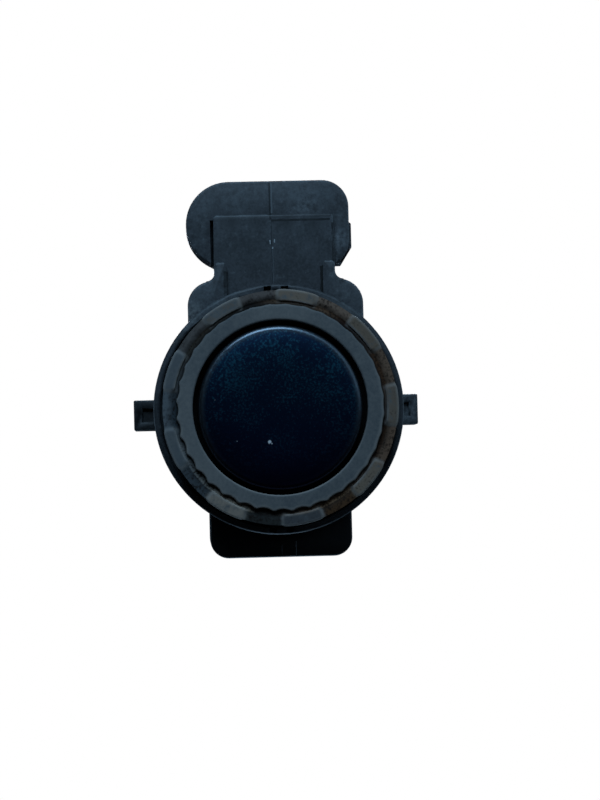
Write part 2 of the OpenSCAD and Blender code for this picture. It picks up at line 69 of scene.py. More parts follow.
# Meshes: points to join, slivers to drop, and the angles that count as flat, as sharp and as shaded sharp
JOIN_DIST = 0.012
FINE_JOIN_DIST = 0.002
SLIVER_DIST = 0.004
FLAT_ANGLE = math.radians(0.8)
SHARP_ANGLE = math.radians(35)
SHADE_ANGLE = math.radians(32)

# Radii and depths of the transducer: the part source's, with the sleeve and the pads a little fuller
# and the groove filled with silt
CUP_R = 7.75
SLEEVE_IN_R = 8.23
SLEEVE_OUT_R = 9.83
PAD_IN_R = 10.03
PAD_OUT_R = 11.21
FLANGE_R = 11.07
RING_BACK_R = 9.9
COLLAR_R = 8.75
SLEEVE_Y = -4.2
GAP_FLOOR_Y = -2.0
PAD_Y = -3.95
PAD_FOOT_Y = -2.7
SILT_Y = -3.75
SEAT_Y = 1.5
COLLAR_Y = 1.7
RING_BACK_Y = 4.4
# Crown of the membrane inside its rounded edge
CROWN_R = 7.25
CROWN_Y = -4.35
CAMBER = 0.25
CROWN_POWER = 5
CROWN_RINGS = 24
# Paint: depths where it ends on the cup's side, radii of the pale painted highlight along its edge, and heights
# between which it is painted darker toward the bottom as painted shade
BARE_FROM_Y = -1.6
BARE_Y = -1.2
EDGE_HIGHLIGHT_FROM_R = 7.0
EDGE_HIGHLIGHT_R = 7.45
DARK_Z = -7.5
LIGHT_Z = 0.5
# Chips in the paint: place across, place up, size
PAINT_CHIPS = [(-1.12, -3.24, 0.17), (-0.9, -3.4, 0.06), (-4.15, -3.1, 0.0), (-6.13, 0.82, -0.02)]
# Pads: clock angles, corners, reach of their sides past their radii, and set-back of their slopes
PAD_STEP = 40.0
PAD_FIRST = 10.0
PAD_HALF_ARC = 10.5
PAD_CORNER_R = 0.55
PAD_SIDE = 0.2
PAD_INSET = 0.06
# Flutes: spacing, radius and depth
FLUTE_STEP = 10.0
FLUTE_R = 1.5
FLUTE_DEPTH = 0.22
# Steps around the ring
RING_STEPS = 720
# Sleeve: radii where its flutes begin and are at full depth, and where its edge is rubbed
FLUTE_FROM_R = 8.8
FLUTE_FULL_R = 9.45
RUB_FROM_R = 9.5
RUB_FULL_R = 9.65
# Groove: radii between which dirt lies in it, and depths where the dirt begins and is whole
GROOVE_IN_R = SLEEVE_OUT_R - 0.5
GROOVE_OUT_R = PAD_IN_R + 0.12
DIRT_TOP_Y = -4.18
DIRT_WHOLE_Y = -4.05
# Clock angles: where the flutes are most open, mud is caked, and the sleeve's face is rubbed, and the top
FLUTES_OPEN_AT = 222.0
CAKED_AT = 47.0
RUBBED_AT = 248.0
TOP = 0.0
# Housing: depths of its front faces and of its mouth
BODY_Y = 2.0
NECK_Y = 2.7
SHROUD_Y = 3.4
MOUTH_Y = 21.0
# Half the neck's width, heights where the shroud clears the neck and the rails end, the barrel's radius and edge
NECK_X = 5.85
SHROUD_CLEAR_Z = 19.5
RAIL_TOP_Z = 14.7
BARREL_R = 12.0
RIM_EDGE_R = 0.25
# Depth in front of which the lugs lie, and a height that holds half of one
LUG_BACK_Y = 12
LUG_HALF_Z = 2
# Distance from the neck's face where marks are whole and where they end, and depths between which the back is
# painted darker as painted shade
MARKS_WHOLE = 0.8
MARKS_END = 2.4
BACK_FROM_Y = 4.0
BACK_Y = 8.0

# Photograph: frame, scale at the membrane, and the pixel that the sensor's axis meets there
FRAME_PX = (600, 800)
MM_PER_PX = 0.0937
AXIS_PX = (280.6, 407.1)
VIEW_DISTANCE = 220.0
VIEW_AZIMUTH = -2.0
VIEW_ELEVATION = -2.2
VIEW_ROLL = 1.45
SENSOR_HEIGHT = 24.0
NEAR_CLIP = 0.01


def srgb(hex_colour):
    """Linear colour of an sRGB hex value."""
    channels = [int(hex_colour[i:i + 2], 16) / 255 for i in (1, 3, 5)]
    return [c / 12.92 if c <= 0.04045 else ((c + 0.055) / 1.055) ** 2.4 for c in channels] + [1.0]


def tone(hex_colour):
    """Linear colour of an sRGB hex value, as a vector to mix by hand."""
    return Vector(srgb(hex_colour)[:3])


def per_mm(size):
    """Texture scale, in metres of Object coordinates, of a pattern of that size in millimetres."""
    return 1 / (size * MM)


# Sockets of a colour mix: its factor, its two colours and its result
FACTOR, FIRST, SECOND, MIXED = 0, 6, 7, 2


def add(tree, kind, sockets, out=0, **settings):
    """Adds a shader node with its settings, sets or links its sockets, and gives one of its outputs."""
    node = tree.nodes.new("ShaderNode" + kind)
    for name, value in settings.items():
        setattr(node, name, value)
    for key, value in sockets.items():
        if isinstance(value, bpy.types.NodeSocket):
            tree.links.new(value, node.inputs[key])
        else:
            node.inputs[key].default_value = value
    return node.outputs[out] if node.outputs else node


def new_material(name):
    """Empty material, with the Object coordinates that its patterns read."""
    material = bpy.data.materials.new(name)
    material.use_nodes = True
    tree = material.node_tree
    tree.nodes.clear()
    return material, tree, add(tree, "TexCoord", {}, "Object")


def marked_front(tree, shade, place, marks):
    """Shade with lines drawn in the housing's front, many of them painted shadow and highlight of creases and
    steps; a line is left, right, low, high and colour.
    """
    x, y, z = (add(tree, "SeparateXYZ", {"Vector": place}, axis) for axis in "XYZ")
    marked = shade
    for left, right, low, high, tint in marks:
        across = add(tree, "Math", {0: x, 1: (left + right) / 2 * MM, 2: (right - left) / 2 * MM},
                     operation="COMPARE")
        along = add(tree, "Math", {0: z, 1: (low + high) / 2 * MM, 2: (high - low) / 2 * MM},
                    operation="COMPARE")
        inside = add(tree, "Math", {0: across, 1: along}, operation="MULTIPLY")
        marked = add(tree, "Mix", {FACTOR: inside, FIRST: marked, SECOND: srgb(tint)}, MIXED, data_type="RGBA")
    behind = add(tree, "Math", {0: y, 1: NECK_Y * MM}, operation="SUBTRACT")
    away = add(tree, "Math", {0: behind}, operation="ABSOLUTE")
    front = add(tree, "MapRange", {"Value": away, "From Min": MARKS_END * MM, "From Max": MARKS_WHOLE * MM})
    return add(tree, "Mix", {FACTOR: front, FIRST: shade, SECOND: marked}, MIXED, data_type="RGBA")


def with_spots(tree, shade, coords, broken, spots):
    """Shade with spots of wear and grime and spots of painted light and shade, which fade outward; a spot is place,
    size and colour.
    """
    for spot, size, tint in spots:
        away = add(tree, "VectorMath", {0: coords, 1: Vector(spot) * MM}, "Value", operation="DISTANCE")
        near = add(tree, "MapRange", {"Value": away, "From Min": size * MM, "From Max": 0.0})
        blend_share = add(tree, "Math", {0: near, 1: broken}, operation="MULTIPLY")
        shade = add(tree, "Mix", {FACTOR: blend_share, FIRST: shade, SECOND: srgb(tint)}, MIXED, data_type="RGBA")
    return shade


def moulded_plastic(name, base, cloudy, worn, marks=(), spots=()):
    """Glass-filled PBT, moulded: near black, satin, finely mottled, paler at rubbed edges and scuffs, painted
    darker further back as painted shade, and with the painted light and shade that its lines and spots carry.
    """
    material, tree, coords = new_material(name)
    cloud = add(tree, "TexNoise", {"Vector": coords, "Scale": per_mm(2.2), "Detail": 5, "Roughness": 0.65})
    mottle = add(tree, "TexNoise", {"Vector": coords, "Scale": per_mm(0.55), "Detail": 4, "Roughness": 0.7})
    grain = add(tree, "TexNoise", {"Vector": coords, "Scale": per_mm(0.2), "Detail": 2})
    both = add(tree, "Math", {0: cloud, 1: grain}, operation="ADD")
    patches = add(tree, "MapRange", {"Value": both, "From Min": 0.82, "From Max": 1.18})
    flecks = add(tree, "MapRange", {"Value": mottle, "From Min": 0.6, "From Max": 0.9})
    edge = add(tree, "Attribute", {}, "Fac", attribute_name="edge_wear")
    broken = add(tree, "MapRange", {"Value": mottle, "From Min": 0.35, "From Max": 0.65})
    blend_share = add(tree, "Math", {0: edge, 1: broken}, operation="MULTIPLY")
    shade = add(tree, "Mix", {FACTOR: patches, FIRST: srgb(base), SECOND: srgb(cloudy)}, MIXED, data_type="RGBA")
    shade = add(tree, "Mix", {FACTOR: flecks, FIRST: shade, SECOND: srgb(worn)}, MIXED, data_type="RGBA")
    shade = add(tree, "Mix", {FACTOR: blend_share, FIRST: shade, SECOND: srgb(worn)}, MIXED, data_type="RGBA")
    # No moulded line is quite straight, so the place that the lines read wanders a little
    wander = add(tree, "TexNoise", {"Vector": coords, "Scale": per_mm(0.7), "Detail": 2}, "Color")
    place = add(tree, "VectorMath", {0: wander, 1: (0.16 * MM,) * 3, 2: coords}, operation="MULTIPLY_ADD")
    shade = marked_front(tree, shade, place, marks)
    # Painted shade: further back from the front, the plastic is painted darker
    depth = add(tree, "SeparateXYZ", {"Vector": place}, "Y")
    painted_back_shade = add(tree, "MapRange", {"Value": depth, "From Min": BACK_FROM_Y * MM, "From Max": BACK_Y * MM,
                                    "To Max": 0.45})
    shade = add(tree, "Mix", {FACTOR: painted_back_shade, FIRST: shade, SECOND: srgb("#212326")}, MIXED, data_type="RGBA")
    shade = with_spots(tree, shade, coords, broken, spots)
    rough = add(tree, "MapRange", {"Value": cloud, "From Min": 0.3, "From Max": 0.7, "To Min": 0.46, "To Max": 0.6})
    bump = add(tree, "Bump", {"Strength": 0.3, "Distance": 0.02 * MM, "Height": grain})
    shader = add(tree, "BsdfPrincipled", {"Base Color": shade, "Roughness": rough, "IOR": 1.5, "Normal": bump})
    add(tree, "OutputMaterial", {"Surface": shader})
    return material


def dusty_silicone():
    """Silicone rubber, moulded: soft grey, dull, tan where dust clings, brown where mud has dried, and near black
    where shade is painted on hidden walls.
    """
    material, tree, coords = new_material("dusty_grey_silicone")
    patch = add(tree, "TexNoise", {"Vector": coords, "Scale": per_mm(1.4), "Detail": 4, "Roughness": 0.6})
    speck = add(tree, "TexNoise", {"Vector": coords, "Scale": per_mm(0.35), "Detail": 3, "Roughness": 0.7})
    both = add(tree, "Math", {0: patch, 1: speck}, operation="ADD")
    patches = add(tree, "MapRange", {"Value": both, "From Min": 0.75, "From Max": 1.25})
    rub = add(tree, "Attribute", {}, "Fac", attribute_name="rub")
    # The ring's attribute gives the dirt's colour and cover, and also the painted light and shade of its walls,
    # groove and gaps
    tint = add(tree, "Attribute", {}, "Color", attribute_name="dirt_and_shade")
    cover = add(tree, "Attribute", {}, "Alpha", attribute_name="dirt_and_shade")
    broken = add(tree, "Math", {0: cover, 1: speck}, operation="ADD")
    lying = add(tree, "MapRange", {"Value": broken, "From Min": 0.6, "From Max": 1.1},
                interpolation_type="SMOOTHSTEP")
    shade = add(tree, "Mix", {FACTOR: patches, FIRST: srgb("#636566"), SECOND: srgb("#777674")}, MIXED,
                data_type="RGBA")
    shade = add(tree, "Mix", {FACTOR: lying, FIRST: shade, SECOND: tint}, MIXED, data_type="RGBA")
    crumb = add(tree, "TexNoise", {"Vector": coords, "Scale": per_mm(0.22), "Detail": 2})
    crumbs = add(tree, "MapRange", {"Value": crumb, "From Min": 0.48, "From Max": 0.64, "To Max": 0.8})
    heavy = add(tree, "MapRange", {"Value": cover, "From Min": 0.55, "From Max": 0.95})
    strewn = add(tree, "Math", {0: crumbs, 1: heavy}, operation="MULTIPLY")
    shade = add(tree, "Mix", {FACTOR: strewn, FIRST: shade, SECOND: srgb("#1c0f07")}, MIXED, data_type="RGBA")
    shade = add(tree, "Mix", {FACTOR: rub, FIRST: shade, SECOND: srgb("#a39c95")}, MIXED, data_type="RGBA")
    bump = add(tree, "Bump", {"Strength": 0.3, "Distance": 0.03 * MM, "Height": speck})
    shader = add(tree, "BsdfPrincipled", {"Base Color": shade, "Roughness": 0.72, "IOR": 1.41,
                                          "Specular IOR Level": 0.25, "Normal": bump})
    add(tree, "OutputMaterial", {"Surface": shader})
    return material


def crown_depth(across, up):
    """Depth of the membrane's crowned front at a place."""
    return CROWN_Y - CAMBER * (1 - (math.hypot(across, up) / CROWN_R) ** CROWN_POWER)


def painted_aluminium():
    """Aluminium cup under sprayed paint: deep blue with fine flake under lacquer, chipped, bare at its back,
    painted darker toward the bottom as painted shade and pale along its top edge as a painted highlight.
    """
    material, tree, coords = new_material("blue_metallic_paint_on_aluminium")
    flake = add(tree, "TexNoise", {"Vector": coords, "Scale": per_mm(0.2), "Detail": 2, "Roughness": 0.6})
    peel = add(tree, "TexNoise", {"Vector": coords, "Scale": per_mm(0.4), "Detail": 4, "Roughness": 0.65})
    drift = add(tree, "TexNoise", {"Vector": coords, "Scale": per_mm(3.0), "Detail": 3})
    depth, height = (add(tree, "SeparateXYZ", {"Vector": coords}, axis) for axis in "YZ")
    flat = add(tree, "VectorMath", {0: coords, 1: (1, 0, 1)}, operation="MULTIPLY")
    radius = add(tree, "VectorMath", {0: flat}, "Value", operation="LENGTH")
    gathered = add(tree, "Math", {0: drift, 1: 0.5, 2: flake}, operation="MULTIPLY_ADD")
    glint = add(tree, "MapRange", {"Value": gathered, "From Min": 0.76, "From Max": 1.02})
    clouds = add(tree, "MapRange", {"Value": drift, "From Min": 0.4, "From Max": 0.75, "To Max": 0.5})
    bare = add(tree, "MapRange", {"Value": depth, "From Min": BARE_FROM_Y * MM, "From Max": BARE_Y * MM})
    paint = add(tree, "Mix", {FACTOR: glint, FIRST: srgb("#002546"), SECOND: srgb("#327a90")}, MIXED,
                data_type="RGBA")
    shade = add(tree, "Mix", {FACTOR: clouds, FIRST: paint, SECOND: srgb("#002c4a")}, MIXED, data_type="RGBA")
    # Painted shade: the paint darkens toward the bottom, and only the top keeps its light
    painted_light_from_top = add(tree, "MapRange", {"Value": height, "From Min": DARK_Z * MM, "From Max": LIGHT_Z * MM})
    shade = add(tree, "Mix", {FACTOR: painted_light_from_top, FIRST: srgb("#000340"), SECOND: shade}, MIXED, data_type="RGBA")
    # Painted highlight: pale along the rounded edge, strongest at the top
    edge = add(tree, "MapRange", {"Value": radius, "From Min": EDGE_HIGHLIGHT_FROM_R * MM, "From Max": EDGE_HIGHLIGHT_R * MM,
                                  "To Max": 0.5})
    painted_edge_highlight = add(tree, "Math", {0: edge, 1: painted_light_from_top}, operation="MULTIPLY")
    shade = add(tree, "Mix", {FACTOR: painted_edge_highlight, FIRST: shade, SECOND: srgb("#7d8385")}, MIXED, data_type="RGBA")
    painted = 1.0
    for across, up, size in PAINT_CHIPS:
        spot = Vector((across, crown_depth(across, up), up)) * MM
        away = add(tree, "VectorMath", {0: coords, 1: spot}, "Value", operation="DISTANCE")
        ragged = add(tree, "Math", {0: peel, 1: 0.32 * MM, 2: away}, operation="MULTIPLY_ADD")
        chip = add(tree, "MapRange", {"Value": ragged, "From Min": (size + 0.2) * MM,
                                      "From Max": (size + 0.12) * MM})
        shade = add(tree, "Mix", {FACTOR: chip, FIRST: shade, SECOND: srgb("#f0f1f2")}, MIXED, data_type="RGBA")
        painted = add(tree, "Math", {0: painted, 1: chip}, operation="SUBTRACT")
    shade = add(tree, "Mix", {FACTOR: bare, FIRST: shade, SECOND: srgb("#b9bcbf")}, MIXED, data_type="RGBA")
    rough = add(tree, "MapRange", {"Value": flake, "To Min": 0.32, "To Max": 0.44})
    lacquer = add(tree, "MapRange", {"Value": bare, "To Min": 0.8, "To Max": 0.0})
    bump = add(tree, "Bump", {"Strength": 0.5, "Distance": 0.02 * MM, "Height": peel})
    shader = add(tree, "BsdfPrincipled", {"Base Color": shade, "Roughness": rough, "Metallic": painted,
                                          "Normal": bump, "Coat Weight": lacquer, "Coat Roughness": 0.28,
                                          "Coat IOR": 1.5})
    add(tree, "OutputMaterial", {"Surface": shader})
    return material


def plain_finish(name, low, high, size_mm, rough, metallic=0.0, bump_mm=0.01):
    """Finish of an inner piece: two close tones in cloudy patches, with a fine bump."""
    material, tree, coords = new_material(name)
    cloud = add(tree, "TexNoise", {"Vector": coords, "Scale": per_mm(size_mm), "Detail": 4, "Roughness": 0.6})
    patches = add(tree, "MapRange", {"Value": cloud, "From Min": 0.35, "From Max": 0.65})
    shade = add(tree, "Mix", {FACTOR: patches, FIRST: srgb(low), SECOND: srgb(high)}, MIXED, data_type="RGBA")
    spread = add(tree, "MapRange", {"Value": cloud, "From Min": 0.3, "From Max": 0.7,
                                    "To Min": rough - 0.06, "To Max": rough + 0.06})
    bump = add(tree, "Bump", {"Strength": 0.2, "Distance": bump_mm * MM, "Height": cloud})
    shader = add(tree, "BsdfPrincipled", {"Base Color": shade, "Roughness": spread, "Metallic": metallic,
                                          "Normal": bump})
    add(tree, "OutputMaterial", {"Surface": shader})
    return material


def clock_angle(point):
    """Degrees clockwise from the top, seen from the front."""
    return math.degrees(math.atan2(point.x, point.z)) % 360


def off_centre(angle, first, step):
    """Degrees from the nearest of evenly spaced places."""
    return (angle - first + step / 2) % step - step / 2


def from_place(angle, place):
    """Degrees between a clock angle and one place on the dial."""
    return abs(off_centre(angle, place, 360.0))


def smooth(low, high, value):
    """Soft step from 0 at low to 1 at high."""
    share = min(max((value - low) / (high - low), 0.0), 1.0)
    return share * share * (3 - 2 * share)


def shown_piece(bm, name, material, slot, *replaced):
    """Object from a bmesh, with soft shading, that rides on the sensor."""
    mesh = bpy.data.meshes.new(name)
    bm.to_mesh(mesh)
    bm.free()
    mesh.shade_smooth()
    mesh.set_sharp_from_angle(angle=SHADE_ANGLE)
    mesh.materials.append(material)
    piece = bpy.data.objects.new(name, mesh)
    bpy.context.scene.collection.objects.link(piece)
    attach(piece, "root")
    if replaced:
        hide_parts(*replaced)
    return piece


def merged_copy(node):
    """Bmesh of a CAD node with its triangles joined and its flat faces whole."""
    bm = bmesh.new()
    bm.from_mesh(nodes[node].data)
    bmesh.ops.remove_doubles(bm, verts=bm.verts, dist=JOIN_DIST * MM)
    bmesh.ops.dissolve_degenerate(bm, edges=bm.edges, dist=SLIVER_DIST * MM)
    bmesh.ops.dissolve_limit(bm, angle_limit=FLAT_ANGLE, verts=bm.verts, edges=bm.edges)
    return bm


def soften(bm, width, chosen):
    """Rounds the sharp outer edges that are chosen by their middle, and marks the rounding as worn."""
    wear = bm.verts.layers.float.get("edge_wear") or bm.verts.layers.float.new("edge_wear")
    edges = [e for e in bm.edges if e.is_manifold and e.calc_face_angle_signed() > SHARP_ANGLE
             and chosen(*((e.verts[0].co + e.verts[1].co) / 2 / MM), e)]
    made = bmesh.ops.bevel(bm, geom=edges, offset=width * MM, offset_type="OFFSET", affect="EDGES",
                           segments=3, profile=0.5, clamp_overlap=False, material=-1)
    strip = set(made["faces"])
    for vert in made["verts"]:
        vert[wear] = 1.0 if all(face in strip for face in vert.link_faces) else 0.35


def in_plane(edge, depth):
    """Whether an edge lies in the plane at that depth."""
    return all(abs(vert.co.y / MM - depth) < NEAR for vert in edge.verts)


def even_rim(bm):
    """Draws the rim's rounding anew in even strips, because its own thin triangles catch the light unevenly.

    It is paler beside the lugs.
    """
    wear = bm.verts.layers.float.new("edge_wear")
    inner = BARREL_R - RIM_EDGE_R
    old = [f for f in bm.faces if all(math.hypot(v.co.x, v.co.z) > (inner - SLACK) * MM
                                      and v.co.y < (RIM_EDGE_R + SLACK) * MM for v in f.verts)]
    bmesh.ops.delete(bm, geom=old, context="FACES")
    across = bmesh.ops.bridge_loops(bm, edges=[e for e in bm.edges if e.is_boundary])["edges"]
    made = bmesh.ops.subdivide_edges(bm, edges=across, cuts=5)["geom_inner"]
    for vert in (v for v in made if isinstance(v, bmesh.types.BMVert)):
        radius = math.hypot(vert.co.x, vert.co.z)
        turn = min(max((radius / MM - inner) / RIM_EDGE_R, 0.0), 1.0) * math.pi / 2
        grow = (inner + RIM_EDGE_R * math.sin(turn)) * MM / radius
        vert.co = (vert.co.x * grow, RIM_EDGE_R * (1 - math.cos(turn)) * MM, vert.co.z * grow)
        vert[wear] = smooth(0.6, 1.2, turn) * smooth(16, 6, abs(off_centre(clock_angle(vert.co), 90.0, 180.0)))


def worn_housing(material):
    """Housing with the moulded edges of its outside rounded."""
    bm = merged_copy("housing")
    even_rim(bm)
    soften(bm, 0.2, lambda x, y, z, e: in_plane(e, SHROUD_Y) and (z > SHROUD_CLEAR_Z or abs(x) > NECK_X + 0.6))
    soften(bm, 0.2, lambda x, y, z, e: in_plane(e, NECK_Y) and z > RAIL_TOP_Z)
    soften(bm, 0.22, lambda x, y, z, e: in_plane(e, BODY_Y) and math.hypot(x, z) > BARREL_R
           and (z < 0 or abs(x) > NECK_X - 1))
    soften(bm, 0.15, lambda x, y, z, e: abs(x) > BARREL_R + 0.1 and y < LUG_BACK_Y and abs(z) < LUG_HALF_Z)
    soften(bm, 0.2, lambda x, y, z, e: in_plane(e, MOUTH_Y))
    return shown_piece(bm, "worn_housing", material, "housing_plastic", "housing")


def worn_cover(material):
    """Rear cover with the edges of its back rounded."""
    bm = merged_copy("rear_cover")
    back = max(vert.co.y for vert in bm.verts) / MM
    soften(bm, 0.25, lambda x, y, z, e: in_plane(e, back))
    return shown_piece(bm, "worn_rear_cover", material, "cover_plastic", "rear_cover")


def crowned_cup(material):
    """Membrane cup whose crowned front is drawn in even rings, so that light runs over it smoothly."""
    bm = bmesh.new()
    bm.from_mesh(nodes["membrane_cup"].data)
    bmesh.ops.remove_doubles(bm, verts=bm.verts, dist=FINE_JOIN_DIST * MM)
    front = [f for f in bm.faces if all(math.hypot(v.co.x, v.co.z) < (CROWN_R + SLACK) * MM
                                        and v.co.y < (CROWN_Y + SLACK) * MM for v in f.verts)]
    bmesh.ops.delete(bm, geom=front, context="FACES")
    ring = [e for e in bm.edges if e.is_boundary]
    for step in range(CROWN_RINGS - 1, 0, -1):
        made = bmesh.ops.extrude_edge_only(bm, edges=ring)["geom"]
        ring = [e for e in made if isinstance(e, bmesh.types.BMEdge) and e.is_boundary]
        verts = list({v for e in ring for v in e.verts})
        shrink = step / (step + 1)
        rise = CAMBER * MM * ((step + 1) ** CROWN_POWER - step ** CROWN_POWER) / CROWN_RINGS ** CROWN_POWER
        bmesh.ops.scale(bm, vec=(shrink, 1, shrink), verts=verts)
        bmesh.ops.translate(bm, vec=(0, -rise, 0), verts=verts)
    bmesh.ops.edgeloop_fill(bm, edges=ring)
    bmesh.ops.recalc_face_normals(bm, faces=bm.faces)
    return shown_piece(bm, "crowned_membrane_cup", material, "painted_aluminium", "membrane_cup")


def flute_cut(angle):
    """Depth of the flute in the sleeve at a clock angle."""
    turn = math.radians(off_centre(angle, 0.0, FLUTE_STEP))
    centre = SLEEVE_OUT_R - FLUTE_DEPTH + FLUTE_R
    reach = FLUTE_R ** 2 - (centre * math.sin(turn)) ** 2
    if reach <= 0:
        return 0.0
    return max(0.0, SLEEVE_OUT_R - centre * math.cos(turn) + math.sqrt(reach))


def open_flute(angle):
    """Share of a flute that dust leaves open: all at the lower left, little at the right."""
    return 0.3 + 0.7 * smooth(120, 25, from_place(angle, FLUTES_OPEN_AT))


def pad_share(angle, radius, grow=0.0, slope=0.28):
    """1 on a pad, 0 between pads, with the pads' corners rounded and their sloping edges moved out by grow."""
    along = abs(off_centre(angle, PAD_FIRST, PAD_STEP)) - PAD_HALF_ARC
    along = math.radians(along) * radius + PAD_CORNER_R
    across = abs(radius - (PAD_IN_R + PAD_OUT_R) / 2) - (PAD_OUT_R - PAD_IN_R) / 2 - PAD_SIDE + PAD_CORNER_R
    outside = math.hypot(max(along, 0), max(across, 0)) + min(max(along, across), 0) - PAD_CORNER_R
    return 1 - smooth(-slope - PAD_INSET, slope - PAD_INSET, outside - grow)


# Colour and cover of the dirt between the pads, clockwise from the pad right of the top; the dark gap at the bottom
# holds painted shade over its dirt
GAP_DIRT_AND_SHADE = [("#866e5e", 0.8), ("#7c614e", 0.85), ("#785c49", 0.9), ("#583c26", 0.95), ("#363532", 0.95),
            ("#4d5154", 0.85), ("#6b6f72", 0.7), ("#68605b", 0.7), ("#70655f", 0.75)]
# Colour and cover of the dust on each pad, from the same pad on; the pad at the bottom is darker and greyer
PAD_DUST = [("#8a7868", 0.5), ("#7c6a5a", 0.65), ("#7a6a5c", 0.55), ("#8a7766", 0.6), ("#585656", 0.6),
            ("#a08f80", 0.45), ("#66686a", 0.3), ("#66686a", 0.3), ("#75695f", 0.3)]
# Dirt in the groove, with painted shadow at the upper left and colours raised at the bottom as painted light where
# the groove lies in shadow: clock angle, colour
GROOVE_DIRT_LIGHT_AND_SHADE = [(5, "#6a5240"), (25, "#644a37"), (40, "#2b1307"), (52, "#2b1307"), (65, "#4f331f"),
               (85, "#48301f"), (97, "#2a1509"), (105, "#3a2414"), (125, "#4f382a"), (145, "#8a6a50"),
               (165, "#86664d"), (175, "#6b4c36"), (183, "#332c27"), (194, "#262320"), (203, "#b8a48f"),
               (214, "#a89684"), (225, "#7f7870"), (245, "#6e6e6d"), (265, "#3b4348"), (285, "#3b3e40"),
               (305, "#3f3830"), (325, "#302418"), (345, "#0c0806")]


def groove_dirt_light_and_shade(angle):
    """Colour of the dirt, with its painted light and shade, in the groove at a clock angle, between the two places
    next to it.
    """
    before = max((spot for spot in GROOVE_DIRT_LIGHT_AND_SHADE if spot[0] <= angle), default=GROOVE_DIRT_LIGHT_AND_SHADE[-1])
    after = min((spot for spot in GROOVE_DIRT_LIGHT_AND_SHADE if spot[0] > angle), default=GROOVE_DIRT_LIGHT_AND_SHADE[0])
    share = smooth(0, (after[0] - before[0]) % 360, (angle - before[0]) % 360)
    return tone(before[1]).lerp(tone(after[1]), share)


def spun_ring():
    """Ring spun from its profile, with soft corners at the sleeve and the pads."""
    bm = bmesh.new()
    profile = [(CUP_R, GAP_FLOOR_Y), (SLEEVE_IN_R, GAP_FLOOR_Y), (SLEEVE_IN_R, SLEEVE_Y), (SLEEVE_OUT_R, SLEEVE_Y),
               (SLEEVE_OUT_R, SILT_Y), (PAD_IN_R, SILT_Y), (PAD_IN_R, PAD_Y), (PAD_OUT_R, PAD_Y),
               (PAD_OUT_R, PAD_FOOT_Y), (FLANGE_R, PAD_FOOT_Y + 0.1), (FLANGE_R, SEAT_Y), (RING_BACK_R, SEAT_Y),
               (RING_BACK_R, RING_BACK_Y), (COLLAR_R, RING_BACK_Y), (COLLAR_R, COLLAR_Y), (CUP_R, COLLAR_Y)]
    corners = [bm.verts.new((radius * MM, depth * MM, 0)) for radius, depth in profile]
    for first, second in zip(corners, corners[1:] + corners[:1]):
        bm.edges.new((first, second))
    for index, width in ((2, 0.2), (3, 0.25), (6, 0.12), (7, 0.2)):
        bmesh.ops.bevel(bm, geom=[corners[index]], offset=width * MM, offset_type="OFFSET", affect="VERTICES",
                        segments=5, profile=0.5, material=-1)
    front = [e for e in bm.edges if e.calc_length() > 0.25 * MM and all(v.co.y < PAD_FOOT_Y * MM for v in e.verts)]
    bmesh.ops.subdivide_edges(bm, edges=front, cuts=6)
    bmesh.ops.spin(bm, geom=bm.verts[:] + bm.edges[:], cent=(0, 0, 0), axis=(0, 1, 0), dvec=(0, 0, 0),
                   angle=math.tau, steps=RING_STEPS, use_merge=True)
    bmesh.ops.remove_doubles(bm, verts=bm.verts, dist=FINE_JOIN_DIST * MM)
    bmesh.ops.recalc_face_normals(bm, faces=bm.faces)
    return bm


def pad_band(angle, radius, depth, waver):
    """Outer band of the ring: pads under thin dust, and lower gaps between them under thick dirt, with painted
    shade in the gap at the bottom.

    Gives the new radius and depth, the rub, and the colour and cover of the dirt.
    """
    pad, clean = pad_share(angle, radius), pad_share(angle, radius, 0.55 * waver, 0.38)
    tint, amount = GAP_DIRT_AND_SHADE[int((angle - PAD_FIRST) % 360 // PAD_STEP)]
    dust, thickness = PAD_DUST[int((angle - PAD_FIRST + PAD_STEP / 2) % 360 // PAD_STEP)]
    mud = smooth(PAD_IN_R + 0.8, PAD_IN_R - 0.1, radius - 0.6 * waver)
    colour = (tone(tint) * (1 - 0.75 * mud)).lerp(tone(dust), clean)
    cover = (amount + 0.4 * waver) * (1 - clean) + (thickness + 0.5 * waver) * clean
    rim_rub = 2.2 * pad * (1 - pad) + 0.5 * pad * smooth(0.3, 0.1, PAD_OUT_R - radius)
    lip_rub = 0.8 * pad * smooth(0.3, 0.1, radius - PAD_IN_R) * smooth(PAD_Y + 0.11, PAD_Y + 0.03, depth)
    worn = max(rim_rub, lip_rub) * (0.7 + 0.6 * waver)
    floor = max(depth, PAD_Y + 0.1 + 0.15 * smooth(PAD_IN_R + 0.6, PAD_IN_R, radius))
    depth += (floor - depth) * (1 - pad)
    radius += (min(radius, FLANGE_R) - radius) * (1 - pad)
    return radius, depth, worn, colour, cover


